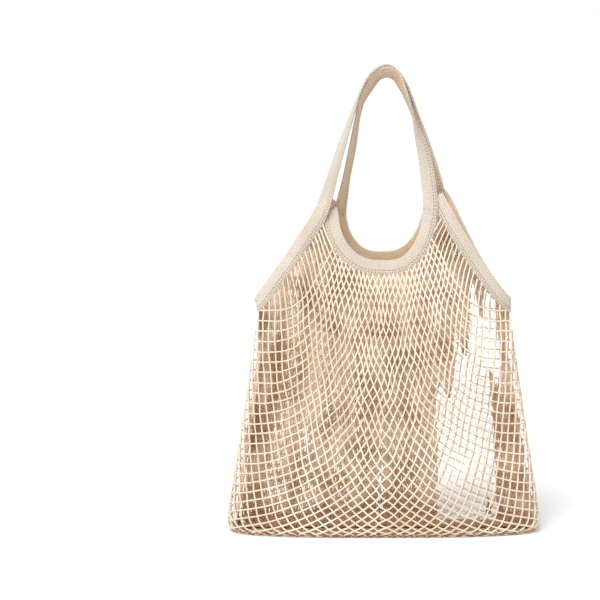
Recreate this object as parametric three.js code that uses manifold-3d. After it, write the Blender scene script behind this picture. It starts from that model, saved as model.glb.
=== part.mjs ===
// A natural cotton string shopping bag: a net body bound by two long twill tapes
// that run on as its handle straps. Millimetres, +Z up, -Y is the front.
// The origin is the middle of the footprint, on the surface that the bag stands on.

import * as THREE from "three";
import { mergeVertices } from "three/addons/utils/BufferGeometryUtils.js";
import Module from "manifold-3d";

const wasm = await Module();
wasm.setup();

// Net body
const baseWidth = 378;
const baseDepth = 110;
const shoulderWidth = 306;
const shoulderHeight = 262;
const bottomRound = 12;
const netThickness = 2;
const foldDepth = 2.5;
const foldCount = 5;

// Neck and peaks of the net, front and back, left and right. strap: how much higher than
// its peak a handle strap's leg begins.
const frontNeckHeight = 308.5;
const backNeckHeight = 318.5;
const neckMiddle = -1;
const frontLeftPeak = { x: -71.6, height: 371, strap: 17 };
const frontRightPeak = { x: 62, height: 382, strap: 6 };
const backLeftPeak = { x: -62, height: 378, strap: 10 };
const backRightPeak = { x: 66, height: 392, strap: -4 };

// Tape and handles
const tapeWidth = 17.5;
const tapeThickness = 2;
const crownHeight = 557.5;
const crownNest = 9;
const legSpacing = 70;
const legSpread = 20;
const tuckRun = 18;
const tuckShares = [1, 1, 0.5];

// Fit
const seamGap = 0.3;
const tuckGap = 0.5;

// Coarse openings knotted into the net
const gapBar = 9;
const wallGapColumns = 5;
const wallGapRows = 4;
const sideGapColumns = 2;
const sideGapRows = 3;
const baseGapPitch = 55;
const baseGapRise = 40;

// Share of the half width where the front and back nets meet the side nets
const panelShare = 0.8;

// Facets: of the walls upwards, with the share of them that rounds up from the base, of the
// side nets across, of each shoulder and neck edge, and of each handle row
const wallRows = 10;
const roundPart = 0.06;
const sideFacets = 8;
const shoulderFacets = 3;
const neckFacets = 8;
const facetsPerRow = 3;

// Stations of the tapes along the neck and round a side
const neckStops = 16;
const sideStops = 22;
const neckReach = 0.97;

// How far the net runs on under the tapes before it is trimmed to them
const edgeLap = 3;

// Body sections, from the floor up. up: share of shoulderHeight. narrowing: share of the
// way from baseWidth to shoulderWidth. depth: share of baseDepth. squareness: the exponent
// of the section, 2 for an ellipse.
const bodySections = [
  { up: 0.0, narrowing: 0.0, depth: 0.98, squareness: 2.8 },
  { up: 0.1, narrowing: 0.05, depth: 1.0, squareness: 2.8 },
  { up: 0.25, narrowing: 0.22, depth: 0.99, squareness: 2.7 },
  { up: 0.5, narrowing: 0.5, depth: 0.92, squareness: 2.5 },
  { up: 0.75, narrowing: 0.77, depth: 0.8, squareness: 2.25 },
  { up: 1.0, narrowing: 1.0, depth: 0.66, squareness: 2.0 },
  { up: 1.15, narrowing: 1.0, depth: 0.57, squareness: 2.0 },
  { up: 1.3, narrowing: 1.0, depth: 0.42, squareness: 2.0 },
  { up: 1.45, narrowing: 1.0, depth: 0.3, squareness: 2.0 },
  { up: 1.6, narrowing: 1.0, depth: 0.25, squareness: 2.0 },
];

// Curve of the neck: exponents across and up. Curve of each side: one exponent.
const neckCurve = { across: 2.5, up: 1.71 };
const sideCurve = { left: 1.15, right: 1.4 };

// Legs of the handle straps. up: share of the leg's rise from above its peak to the crown.
// across: share of legSpacing. deep: share of legSpread, + towards the back.
// roll: degrees by which the strap's outer face turns to the front.
const outerHandleRows = [
  { up: 0.0, across: -1.05, deep: -0.72, roll: 62 },
  { up: 0.22, across: -0.9, deep: -0.62, roll: 48 },
  { up: 0.45, across: -0.73, deep: -0.5, roll: 37 },
  { up: 0.67, across: -0.55, deep: -0.42, roll: 24 },
  { up: 0.79, across: -0.45, deep: -0.36, roll: 14 },
  { up: 0.9, across: -0.31, deep: -0.22, roll: 4 },
  { up: 0.97, across: -0.16, deep: -0.08, roll: 0 },
  { up: 1.0, across: 0.02, deep: 0.0, roll: 0 },
  { up: 0.97, across: 0.2, deep: 0.08, roll: 2 },
  { up: 0.9, across: 0.37, deep: 0.16, roll: 8 },
  { up: 0.79, across: 0.475, deep: 0.24, roll: 14 },
  { up: 0.67, across: 0.57, deep: 0.34, roll: 14 },
  { up: 0.45, across: 0.76, deep: 0.52, roll: 0 },
  { up: 0.22, across: 0.9, deep: 0.7, roll: -36 },
  { up: 0.12, across: 0.955, deep: 0.8, roll: -54 },
];
const innerHandleRows = [
  { up: 0.0, across: 0.775, deep: -0.74, roll: 80 },
  { up: 0.22, across: 0.71, deep: -0.68, roll: 78 },
  { up: 0.38, across: 0.64, deep: -0.6, roll: 66 },
  { up: 0.53, across: 0.54, deep: -0.46, roll: 42 },
  { up: 0.67, across: 0.465, deep: -0.34, roll: 14 },
  { up: 0.79, across: 0.39, deep: -0.24, roll: -10 },
  { up: 0.9, across: 0.275, deep: -0.16, roll: -32 },
  { up: 0.97, across: 0.155, deep: -0.13, roll: -42 },
  { up: 1.0, across: 0.03, deep: -0.1, roll: -45 },
  { up: 0.97, across: -0.09, deep: -0.02, roll: -45 },
  { up: 0.9, across: -0.21, deep: 0.1, roll: -42 },
  { up: 0.79, across: -0.34, deep: 0.22, roll: -34 },
  { up: 0.67, across: -0.435, deep: 0.32, roll: -24 },
  { up: 0.45, across: -0.515, deep: 0.52, roll: -32 },
  { up: 0.22, across: -0.635, deep: 0.74, roll: -44 },
  { up: 0.0, across: -0.73, deep: 0.86, roll: -62 },
];

const FRONT = -1;
const BACK = 1;
const LEFT = -1;
const RIGHT = 1;
const tinyStep = 1e-3;
const plugReach = 4;

const cotton = { color: 0xe9dcc6, roughness: 0.9, metalness: 0 };
const twill = { color: 0xdfd3c0, roughness: 0.85, metalness: 0 };

// A smooth value of one column of a table, read at a share of its first column.
function columnAt(rows, key, at) {
  const last = rows.length - 1;
  let k = 0;
  while (k < last - 1 && at > rows[k + 1].up) k += 1;
  const span = rows[k + 1].up - rows[k].up;
  const t = Math.min(Math.max((at - rows[k].up) / span, 0), 1);
  const before = rows[Math.max(k - 1, 0)];
  const after = rows[Math.min(k + 2, last)];
  const slopeIn = ((rows[k + 1][key] - before[key]) / (rows[k + 1].up - before.up)) * span;
  const slopeOut = ((after[key] - rows[k][key]) / (after.up - rows[k].up)) * span;
  const [t2, t3] = [t * t, t * t * t];
  return (
    (2 * t3 - 3 * t2 + 1) * rows[k][key] +
    (t3 - 2 * t2 + t) * slopeIn +
    (3 * t2 - 2 * t3) * rows[k + 1][key] +
    (t3 - t2) * slopeOut
  );
}

// Half width, half depth and squareness of the body at a height.
function sectionAt(height) {
  const up = height / shoulderHeight;
  const narrowing = columnAt(bodySections, "narrowing", up);
  return {
    halfWidth: (baseWidth + (shoulderWidth - baseWidth) * narrowing) / 2,
    halfDepth: (baseDepth / 2) * columnAt(bodySections, "depth", up),
    power: columnAt(bodySections, "squareness", up),
  };
}

// How far the wall is drawn in where it rounds over into the base.
function roundInset(height) {
  if (height >= bottomRound) return 0;
  return bottomRound - Math.sqrt(bottomRound ** 2 - (bottomRound - height) ** 2);
}

// A point of the outer surface by its angle: 0 is the front, 90 degrees the right corner.
function surfaceByAngle(angle, height, inset = roundInset(height)) {
  const { halfWidth, halfDepth, power } = sectionAt(height);
  const [sine, cosine] = [Math.sin(angle), Math.cos(angle)];
  return new THREE.Vector3(
    Math.sign(sine) * Math.abs(sine) ** (2 / power) * (halfWidth - inset),
    -Math.sign(cosine) * Math.abs(cosine) ** (2 / power) * (halfDepth - inset),
    height,
  );
}

// The angle of a share of the half width, on the front or the back.
function angleOfShare(share, side, height) {
  const { power } = sectionAt(height);
  const fromMiddle = Math.asin(Math.min(Math.abs(share), 1) ** (power / 2));
  const angle = side === FRONT ? fromMiddle : Math.PI - fromMiddle;
  return share < 0 ? -angle : angle;
}

function surfaceByShare(share, side, height, inset) {
  return surfaceByAngle(angleOfShare(share, side, height), height, inset);
}

const peaks = {
  [FRONT]: { [LEFT]: frontLeftPeak, [RIGHT]: frontRightPeak, neck: frontNeckHeight },
  [BACK]: { [LEFT]: backLeftPeak, [RIGHT]: backRightPeak, neck: backNeckHeight },
};

const shoulderHalf = shoulderWidth / 2;

// Height of the net's edge on a side of the bag, at a share of the shoulder half width.
function sideEdgeHeight(hand, side, share) {
  const peak = peaks[side][hand];
  const peakShare = Math.abs(peak.x) / shoulderHalf;
  const way = Math.min(Math.max((1 - Math.abs(share)) / (1 - peakShare), 0), 1);
  const power = hand === LEFT ? sideCurve.left : sideCurve.right;
  return shoulderHeight + (peak.height - shoulderHeight) * way ** power;
}

// The net's edge along the neck: turn runs from -1 at the left peak to 1 at the right.
function neckEdge(side, turn) {
  const hand = turn < 0 ? LEFT : RIGHT;
  const peak = peaks[side][hand];
  const angle = (Math.abs(turn) * Math.PI) / 2;
  const across = Math.sin(angle) ** (2 / neckCurve.across);
  const up = 1 - Math.cos(angle) ** (2 / neckCurve.up);
  const { neck } = peaks[side];
  return {
    share: (neckMiddle + (peak.x - neckMiddle) * across) / shoulderHalf,
    height: neck + (peak.height - neck) * up,
  };
}

// The net's edge round one side, from the front peak through the corner to the back peak.
function sideEdge(hand, way) {
  const startShare = Math.abs(peaks[FRONT][hand].x) / shoulderHalf;
  const endShare = Math.abs(peaks[BACK][hand].x) / shoulderHalf;
  const start = Math.asin(startShare);
  const end = Math.PI - Math.asin(endShare);
  const angle = start + (end - start) * way;
  const side = angle < Math.PI / 2 ? FRONT : BACK;
  return { angle: hand * angle, height: sideEdgeHeight(hand, side, Math.sin(angle)) };
}

// Soft upright folds, deepest half way up and gone at the base and the bound edge.
function foldAt(share, rise) {
  return foldDepth * Math.sin(share * foldCount * Math.PI) * Math.sin(rise * Math.PI) ** 2;
}

// A closed sheet of even thickness whose outer face is pointAt(u, v), with u and v in 0..1.
function sheet(pointAt, columns, rows, thickness) {
  const clamp = (value) => Math.min(Math.max(value, 0), 1);
  const outer = [];
  const inner = [];
  for (let j = 0; j <= rows; j += 1) {
    for (let i = 0; i <= columns; i += 1) {
      const [u, v] = [i / columns, j / rows];
      const along = pointAt(clamp(u + tinyStep), v).sub(pointAt(clamp(u - tinyStep), v));
      const up = pointAt(u, clamp(v + tinyStep)).sub(pointAt(u, clamp(v - tinyStep)));
      const normal = along.cross(up).normalize();
      const point = pointAt(u, v);
      outer.push(point);
      inner.push(point.clone().addScaledVector(normal, -thickness));
    }
  }
  return closeSheet(outer, inner, columns, rows);
}

// Joins an outer and an inner grid of points into one closed body.
function closeSheet(outer, inner, columns, rows) {
  const positions = [...outer, ...inner].flatMap((p) => [p.x, p.y, p.z]);
  const at = (i, j, side) => side * outer.length + j * (columns + 1) + i;
  const faces = [];
  const quad = (a, b, c, d) => faces.push(a, b, c, a, c, d);
  for (let j = 0; j < rows; j += 1) {
    for (let i = 0; i < columns; i += 1) {
      quad(at(i, j, 0), at(i + 1, j, 0), at(i + 1, j + 1, 0), at(i, j + 1, 0));
      quad(at(i, j, 1), at(i, j + 1, 1), at(i + 1, j + 1, 1), at(i + 1, j, 1));
    }
  }
  for (let i = 0; i < columns; i += 1) {
    quad(at(i, 0, 0), at(i, 0, 1), at(i + 1, 0, 1), at(i + 1, 0, 0));
    quad(at(i, rows, 0), at(i + 1, rows, 0), at(i + 1, rows, 1), at(i, rows, 1));
  }
  for (let j = 0; j < rows; j += 1) {
    quad(at(0, j, 0), at(0, j + 1, 0), at(0, j + 1, 1), at(0, j, 1));
    quad(at(columns, j, 0), at(columns, j, 1), at(columns, j + 1, 1), at(columns, j + 1, 0));
  }
  const geometry = new THREE.BufferGeometry();
  geometry.setAttribute("position", new THREE.Float32BufferAttribute(positions, 3));
  geometry.setIndex(faces);
  return geometry;
}

function toManifold(geometry) {
  const merged = mergeVertices(geometry, 1e-4);
  if (volumeOf(merged) < 0) flip(merged);
  return new wasm.Manifold(
    new wasm.Mesh({
      numProp: 3,
      vertProperties: new Float32Array(merged.attributes.position.array),
      triVerts: new Uint32Array(merged.index.array),
    }),
  );
}

function fromManifold(solid) {
  const mesh = solid.getMesh();
  const geometry = new THREE.BufferGeometry();
  geometry.setAttribute("position", new THREE.BufferAttribute(mesh.vertProperties, 3));
  geometry.setIndex(new THREE.BufferAttribute(mesh.triVerts, 1));
  return geometry;
}

// A diamond plug through a sheet, round the point (u, v) of its outer face.
function gapPlug(pointAt, u, v, halfU, halfV) {
  const middle = pointAt(u, v);
  const tips = [
    pointAt(u - halfU, v),
    pointAt(u, v - halfV),
    pointAt(u + halfU, v),
    pointAt(u, v + halfV),
  ];
  const across = tips[2].clone().sub(tips[0]);
  const rise = tips[3].clone().sub(tips[1]);
  const normal = across.clone().cross(rise).normalize();
  const trim = (tip) => {
    const arm = tip.clone().sub(middle);
    const shorter = Math.max(arm.length() - gapBar / 2 / diamondSlant(across, rise), 1);
    return middle.clone().addScaledVector(arm.normalize(), shorter);
  };
  const ring = tips.map(trim);
  const reach = netThickness * plugReach;
  const outer = ring.map((tip) => tip.clone().addScaledVector(normal, reach));
  const inner = ring.map((tip) => tip.clone().addScaledVector(normal, -reach));
  const positions = [...outer, ...inner].flatMap((p) => [p.x, p.y, p.z]);
  const faces = [0, 1, 2, 0, 2, 3, 4, 6, 5, 4, 7, 6];
  for (let k = 0; k < ring.length; k += 1) {
    const next = (k + 1) % ring.length;
    faces.push(k, k + 4, next + 4, k, next + 4, next);
  }
  const plug = new THREE.BufferGeometry();
  plug.setAttribute("position", new THREE.Float32BufferAttribute(positions, 3));
  plug.setIndex(faces);
  return toManifold(plug);
}

// Sine of half the sharper angle of a diamond, from its two diagonals.
function diamondSlant(across, rise) {
  return Math.min(across.length(), rise.length()) / Math.hypot(across.length(), rise.length());
}

// Cuts staggered rows of diamonds through a sheet.
function pierce(pointAt, geometry, columns, rows) {
  let solid = toManifold(geometry);
  const [halfU, halfV] = [0.5 / columns, 0.5 / rows];
  for (let j = 1; j < rows * 2; j += 1) {
    const odd = j % 2;
    const count = odd ? columns : columns - 1;
    for (let i = 0; i < count; i += 1) {
      const u = (i + (odd ? 0.5 : 1)) / columns;
      const plug = gapPlug(pointAt, u, j * halfV, halfU, halfV);
      solid = solid.subtract(plug);
    }
  }
  return solid;
}

// Trims a net where tapes cover its edge, and keeps its main piece.
function trimmed(net, tapes) {
  const [width, thickness] = [tapeWidth + 2 * seamGap, tapeThickness * 2];
  const left = tapes.reduce(
    (rest, tape) => rest.subtract(toManifold(band(tape, width, thickness))),
    net,
  );
  const pieces = left.decompose().sort((a, b) => b.volume() - a.volume());
  return fromManifold(pieces[0]);
}

// Columns of the front or back net: a share at the base and a point of the bound edge.
function wallColumns(side) {
  const shoulderRun = (hand) => {
    const peakShare = Math.abs(peaks[side][hand].x) / shoulderHalf;
    const run = [];
    for (let k = 0; k < shoulderFacets; k += 1) {
      const share = THREE.MathUtils.lerp(panelShare, peakShare, k / shoulderFacets);
      run.push({ share: hand * share, height: sideEdgeHeight(hand, side, share) });
    }
    return run;
  };
  const neckRun = [];
  for (let k = 0; k <= neckFacets; k += 1) neckRun.push(neckEdge(side, (2 * k) / neckFacets - 1));
  const columns = [...shoulderRun(LEFT), ...neckRun, ...shoulderRun(RIGHT).reverse()];
  const last = columns.length - 1;
  return columns.map((column, k) => ({ ...column, base: panelShare * ((2 * k) / last - 1) }));
}

// Height of a point of a wall: the first part of v rounds up from the floor.
function wallRise(v, top) {
  if (v >= roundPart) {
    return bottomRound + ((top - bottomRound) * (v - roundPart)) / (1 - roundPart);
  }
  return bottomRound * (1 - Math.cos(((v / roundPart) * Math.PI) / 2));
}

// Surface of the front or back net, with its number of facets across.
function wallSurface(side) {
  const columns = wallColumns(side);
  const last = columns.length - 1;
  const pointAt = (u, v) => {
    const place = (side === FRONT ? u : 1 - u) * last;
    const k = Math.min(Math.floor(place), last - 1);
    const t = place - k;
    const mix = (key) => columns[k][key] * (1 - t) + columns[k + 1][key] * t;
    const height = wallRise(v, mix("height") + edgeLap);
    const share = THREE.MathUtils.lerp(mix("base"), mix("share"), v);
    const trim = seamGap / 2 / sectionAt(height).halfWidth / panelShare;
    const point = surfaceByShare(share * (1 - trim), side, height);
    const fade = 1 - (share / panelShare) ** 2;
    return point.add(new THREE.Vector3(0, side * foldAt(share, v) * fade, 0));
  };
  return { pointAt, facets: last };
}

// Surface of the left or right net, round its corner of the bag.
function sideSurface(hand) {
  const pointAt = (u, v) => {
    const way = hand === RIGHT ? u : 1 - u;
    const edgeSide = way < 0.5 ? FRONT : BACK;
    const edgeStart = Math.asin(panelShare);
    const edgeAngle = THREE.MathUtils.lerp(edgeStart, Math.PI - edgeStart, way);
    const top = sideEdgeHeight(hand, edgeSide, Math.sin(edgeAngle));
    const height = wallRise(v, top + edgeLap);
    const start = Math.abs(angleOfShare(panelShare, FRONT, height));
    const trim = seamGap / 2 / sectionAt(height).halfDepth;
    const angle = THREE.MathUtils.lerp(start + trim, Math.PI - start - trim, way);
    return surfaceByAngle(hand * angle, height);
  };
  return { pointAt, facets: sideFacets };
}

// A net panel: its sheet, pierced, and trimmed to the tapes that bind it.
function panelNet({ pointAt, facets }, gapColumns, gapRows, tapes) {
  const whole = sheet(pointAt, facets, wallRows, netThickness);
  return trimmed(pierce(pointAt, whole, gapColumns, gapRows), tapes);
}

// The flat base inside the walls' feet, with its own diamonds, none over the middle.
function baseNet(walls) {
  const outline = walls.flatMap(({ pointAt, facets }) => {
    const feet = [];
    for (let k = 0; k <= facets; k += 1) {
      const foot = pointAt(k / facets, 0);
      const inward = (value) => value - Math.sign(value) * seamGap;
      feet.push(new THREE.Vector2(inward(foot.x), inward(foot.y)));
    }
    return feet;
  });
  const shape = new THREE.Shape(outline);
  const halfX = (baseGapPitch - gapBar * 1.5) / 2;
  const halfY = (baseGapRise - gapBar * 1.5) / 2;
  const reach = baseWidth / 2 - bottomRound - gapBar;
  for (const row of [-1, 0, 1]) {
    const shift = row === 0 ? 0.5 : 0;
    const limit = row === 0 ? reach : reach * panelShare;
    const most = Math.ceil(reach / baseGapPitch);
    for (let i = -most; i <= most; i += 1) {
      const [x, y] = [(i + shift) * baseGapPitch, (row * baseGapRise) / 2];
      if (Math.abs(x) + halfX > limit) continue;
      shape.holes.push(diamondPath(x, y, halfX, halfY));
    }
  }
  return new THREE.ExtrudeGeometry(shape, { depth: netThickness, bevelEnabled: false });
}

function diamondPath(x, y, halfX, halfY) {
  const hole = new THREE.Path();
  hole.moveTo(x - halfX, y);
  hole.lineTo(x, y - halfY);
  hole.lineTo(x + halfX, y);
  hole.lineTo(x, y + halfY);
  hole.closePath();
  return hole;
}

// Places a tape's middle beside the net's edge, on the side away from the net. ends are
// points of the edge just before and after.
function tapeStation(point, [before, after], normal, netSide) {
  const along = after.clone().sub(before).normalize();
  const away = along.clone().cross(normal).normalize();
  if (away.dot(netSide) > 0) away.negate();
  const out = away.clone().cross(along).normalize();
  if (out.dot(normal) < 0) out.negate();
  const at = point
    .clone()
    .addScaledVector(away, seamGap + tapeWidth / 2)
    .addScaledVector(out, -tapeThickness / 2);
  return { at, out };
}

// Outward normal of the body's surface at an angle and a height.
function surfaceNormal(angle, height) {
  const [turn, rise] = [1e-3, 0.5];
  const along = surfaceByAngle(angle + turn, height).sub(surfaceByAngle(angle - turn, height));
  const up = surfaceByAngle(angle, height + rise).sub(surfaceByAngle(angle, height - rise));
  return along.cross(up).normalize();
}

const netBelow = new THREE.Vector3(0, 0, -1);
const nearBy = 0.01;

// Stations of a tape along the neck, from the left peak to the right one.
function neckStations(side) {
  const pointOf = (turn) => {
    const edge = neckEdge(side, turn);
    return surfaceByShare(edge.share, side, edge.height);
  };
  const bottom = pointOf(0);
  const stations = [];
  for (let k = 0; k <= neckStops; k += 1) {
    const turn = neckReach * ((2 * k) / neckStops - 1);
    const edge = neckEdge(side, turn);
    const normal = surfaceNormal(angleOfShare(edge.share, side, edge.height), edge.height);
    const point = pointOf(turn);
    const netSide = point.clone().sub(bottom).setY(0).add(netBelow);
    const ends = [pointOf(turn - nearBy), pointOf(turn + nearBy)];
    stations.push(tapeStation(point, ends, normal, netSide));
  }
  return stations;
}

// Stations of a tape round one side, from its front peak to its back peak.
function sideStations(hand) {
  const pointOf = (way) => {
    const edge = sideEdge(hand, way);
    return surfaceByAngle(edge.angle, edge.height);
  };
  const stations = [];
  for (let k = 0; k <= sideStops; k += 1) {
    const way = k / sideStops;
    const edge = sideEdge(hand, way);
    const normal = surfaceNormal(edge.angle, edge.height);
    const ends = [pointOf(Math.max(way - nearBy, 0)), pointOf(Math.min(way + nearBy, 1))];
    stations.push(tapeStation(pointOf(way), ends, normal, netBelow));
  }
  return stations;
}

// Stations of a handle strap, from its table, between its two peaks of the net. nest
// lowers the strap that passes below.
function handleStations(rows, [firstPeak, lastPeak], nest) {
  const crown = rows.findIndex(({ up }) => up === 1);
  const footOf = (k) => {
    const { height, strap } = k < crown ? firstPeak : lastPeak;
    return height + strap;
  };
  const points = rows.map(
    ({ up, across, deep }, k) =>
      new THREE.Vector3(
        across * legSpacing,
        deep * legSpread,
        footOf(k) + up * (crownHeight - nest - footOf(k)),
      ),
  );
  return rows.map(({ roll }, k) => {
    const before = points[Math.max(k - 1, 0)];
    const after = points[Math.min(k + 1, rows.length - 1)];
    const along = after.clone().sub(before).normalize();
    const outward = new THREE.Vector3(-along.z, 0, along.x).normalize();
    const fromMiddle = new THREE.Vector3(points[k].x, 0, points[k].z - footOf(k));
    if (outward.dot(fromMiddle) < 0) outward.negate();
    const turn = THREE.MathUtils.degToRad(roll);
    const out = outward.multiplyScalar(Math.cos(turn)).add(new THREE.Vector3(0, -Math.sin(turn), 0));
    return { at: points[k], out };
  });
}

// Runs a tape on past its end and sinks it there, so that it slides under another tape.
function tuckEnd(stations, atEnd) {
  const order = atEnd ? [...stations].reverse() : [...stations];
  const along = order[0].at.clone().sub(order[1].at).normalize();
  const end = order[0].at.clone().addScaledVector(along, tuckRun);
  order.unshift({ at: end, out: order[0].out.clone() });
  const depth = tapeThickness + tuckGap;
  tuckShares.forEach((share, k) => {
    order[k].at = order[k].at.clone().addScaledVector(order[k].out, -depth * share);
  });
  return atEnd ? order.reverse() : order;
}

// One long tape: a smooth run of stations, and the part of it that each node takes.
function tapeRun(...parts) {
  const stations = parts.flat();
  const curve = new THREE.CatmullRomCurve3(
    stations.map((station) => station.at),
    false,
    "centripetal",
  );
  const last = stations.length - 1;
  const [foot, top] = [parts[0].length - 1, last + 1 - parts[2].length];
  const spans = { firstEdge: [0, foot], handle: [foot, top], secondEdge: [top, last] };
  return { stations, curve, spans };
}

// A band swept along one part of a tape, with a seam gap where it is joined to the next.
function band([run, part], width = tapeWidth, thickness = tapeThickness) {
  const { stations, curve, spans } = run;
  const last = stations.length - 1;
  const seam = (index) => seamGap / 2 / stations[index].at.distanceTo(stations[index + 1].at);
  const [start, end] = spans[part];
  const from = start === 0 ? 0 : start + seam(start);
  const to = end === last ? last : end - seam(end - 1);
  const steps = (end - start) * (part === "handle" ? facetsPerRow : 1);
  const outer = [];
  const inner = [];
  for (let i = 0; i <= steps; i += 1) {
    const place = THREE.MathUtils.lerp(from, to, i / steps);
    const k = Math.min(Math.floor(place), last - 1);
    const out = stations[k].out.clone().lerp(stations[k + 1].out, place - k);
    const along = curve.getTangent(place / last).normalize();
    const across = along.clone().cross(out).normalize();
    const face = across.clone().cross(along).normalize();
    const middle = curve.getPoint(place / last);
    for (const edge of [-0.5, 0.5]) {
      const point = middle.clone().addScaledVector(across, edge * width);
      outer.push(point.clone().addScaledVector(face, thickness / 2));
      inner.push(point.clone().addScaledVector(face, -thickness / 2));
    }
  }
  return closeSheet(outer, inner, 1, steps);
}

function solid(name, geometry, finish) {
  const clean = mergeVertices(stripped(geometry), 1e-4);
  if (volumeOf(clean) < 0) flip(clean);
  const mesh = new THREE.Mesh(clean, new THREE.MeshStandardMaterial(finish));
  mesh.name = name;
  return mesh;
}

function stripped(geometry) {
  geometry.deleteAttribute("normal");
  geometry.deleteAttribute("uv");
  return geometry;
}

function volumeOf(geometry) {
  const { array } = geometry.attributes.position;
  const corner = (k) => new THREE.Vector3().fromArray(array, geometry.index.array[k] * 3);
  let total = 0;
  for (let k = 0; k < geometry.index.count; k += 3) {
    total += corner(k).dot(corner(k + 1).cross(corner(k + 2))) / 6;
  }
  return total;
}

function flip(geometry) {
  const { array } = geometry.index;
  for (let k = 0; k < array.length; k += 3) {
    [array[k + 1], array[k + 2]] = [array[k + 2], array[k + 1]];
  }
}

// The two long tapes. Each binds one edge of the net, is a handle strap, and binds another.
const sideTape = tapeRun(
  tuckEnd(sideStations(LEFT).reverse(), false),
  handleStations(outerHandleRows, [frontLeftPeak, backRightPeak], 0),
  tuckEnd(sideStations(RIGHT).reverse(), true),
);
const neckTape = tapeRun(
  tuckEnd(neckStations(FRONT), false),
  handleStations(innerHandleRows, [frontRightPeak, backLeftPeak], crownNest),
  tuckEnd(neckStations(BACK), true),
);

const frontWall = wallSurface(FRONT);
const backWall = wallSurface(BACK);
const leftWall = sideSurface(LEFT);
const rightWall = sideSurface(RIGHT);
const wallGaps = [wallGapColumns, wallGapRows];
const sideGaps = [sideGapColumns, sideGapRows];
const tapes = {
  left_side_tape: [sideTape, "firstEdge"],
  outer_handle: [sideTape, "handle"],
  right_side_tape: [sideTape, "secondEdge"],
  front_neck_tape: [neckTape, "firstEdge"],
  inner_handle: [neckTape, "handle"],
  back_neck_tape: [neckTape, "secondEdge"],
};
const binding = Object.values(tapes);

const nets = {
  front_net: panelNet(frontWall, ...wallGaps, binding),
  back_net: panelNet(backWall, ...wallGaps, binding),
  left_net: panelNet(leftWall, ...sideGaps, binding),
  right_net: panelNet(rightWall, ...sideGaps, binding),
  base_net: baseNet([frontWall, rightWall, backWall, leftWall]),
};

const bag = new THREE.Group();
for (const [name, geometry] of Object.entries(nets)) bag.add(solid(name, geometry, cotton));
for (const [name, tape] of Object.entries(tapes)) bag.add(solid(name, band(tape), twill));

export default bag;
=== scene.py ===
"""A natural cotton string shopping bag: a net of strands bound by two long twill tapes.

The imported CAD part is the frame. Its five net panels are dressed as one lattice of
cotton strands, with the net's slack gathered inside the back, and its six tape nodes
as two long tapes with their stitching. Metres, +Z up, -Y is the front.
"""

import logging
import math
from dataclasses import dataclass
from enum import Enum
from typing import Callable, Iterable, Sequence

import bmesh
import bpy
import numpy as np
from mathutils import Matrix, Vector


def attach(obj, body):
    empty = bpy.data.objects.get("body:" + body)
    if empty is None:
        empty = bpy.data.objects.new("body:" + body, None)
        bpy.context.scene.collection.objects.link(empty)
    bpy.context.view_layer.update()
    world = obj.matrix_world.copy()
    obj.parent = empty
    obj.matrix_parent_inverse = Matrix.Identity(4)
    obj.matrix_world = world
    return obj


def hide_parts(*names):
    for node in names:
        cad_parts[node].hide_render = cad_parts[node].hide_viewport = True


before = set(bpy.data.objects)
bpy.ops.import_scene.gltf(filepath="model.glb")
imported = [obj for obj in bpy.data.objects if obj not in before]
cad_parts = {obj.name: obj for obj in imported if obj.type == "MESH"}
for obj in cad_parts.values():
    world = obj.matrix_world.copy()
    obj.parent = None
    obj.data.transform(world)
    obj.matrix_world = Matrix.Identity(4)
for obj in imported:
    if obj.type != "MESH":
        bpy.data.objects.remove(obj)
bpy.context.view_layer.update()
LOG = logging.getLogger("bag")
TINY = 1e-9

Colour = tuple[float, float, float, float]
Line = list[Vector]
Triple = tuple[float, float, float]


class Side(Enum):
    """Front or back of the bag, as the sign of Y."""

    FRONT = -1
    BACK = 1


class Hand(Enum):
    """Left or right of the bag seen from the front, as the sign of X."""

    LEFT = -1
    RIGHT = 1


def clamp(value: float, low: float = 0.0, high: float = 1.0) -> float:
    """The value, kept between two limits."""
    return min(max(value, low), high)


def running_length(points: Sequence[Vector]) -> np.ndarray:
    """The length of a line up to each of its points."""
    steps = np.linalg.norm(np.diff(np.array(points), axis=0), axis=1)
    return np.concatenate([[0.0], np.cumsum(steps)])


def hermite(start: Vector, slope_in: Vector, end: Vector, slope_out: Vector, t: float) -> Vector:
    """A place on a cubic of numbers or vectors, by its ends and its slopes there."""
    t2, t3 = t * t, t * t * t
    first = start * (2 * t3 - 3 * t2 + 1) + slope_in * (t3 - 2 * t2 + t)
    return first + end * (3 * t2 - 2 * t3) + slope_out * (t3 - t2)


def smooth_column(knots: Sequence[float], values: Sequence[float], at: float) -> float:
    """Reads a table's column smoothly."""
    last = len(knots) - 1
    k = clamp(int(np.searchsorted(knots, at)) - 1, 0, last - 1)
    span = knots[k + 1] - knots[k]
    t = clamp((at - knots[k]) / span)
    before, after = max(k - 1, 0), min(k + 2, last)
    slope_in = (values[k + 1] - values[before]) / (knots[k + 1] - knots[before]) * span
    slope_out = (values[after] - values[k]) / (knots[after] - knots[k]) * span
    return hermite(values[k], slope_in, values[k + 1], slope_out, t)


def placed(name: str, data: bpy.types.ID) -> bpy.types.Object:
    """Makes an object of some data and puts it in the scene."""
    made = bpy.data.objects.new(name, data)
    bpy.context.scene.collection.objects.link(made)
    return made


def aim(holder: bpy.types.Object, look: Vector) -> None:
    """Turns a lamp or a camera to look along a direction."""
    holder.rotation_mode = "QUATERNION"
    holder.rotation_quaternion = look.to_track_quat("-Z", "Y")


def placed_mesh(name: str, bm: bmesh.types.BMesh) -> bpy.types.Object:
    """Makes a mesh object of a finished bmesh, which is freed."""
    mesh = bpy.data.meshes.new(name)
    bm.to_mesh(mesh)
    bm.free()
    return placed(name, mesh)


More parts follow.
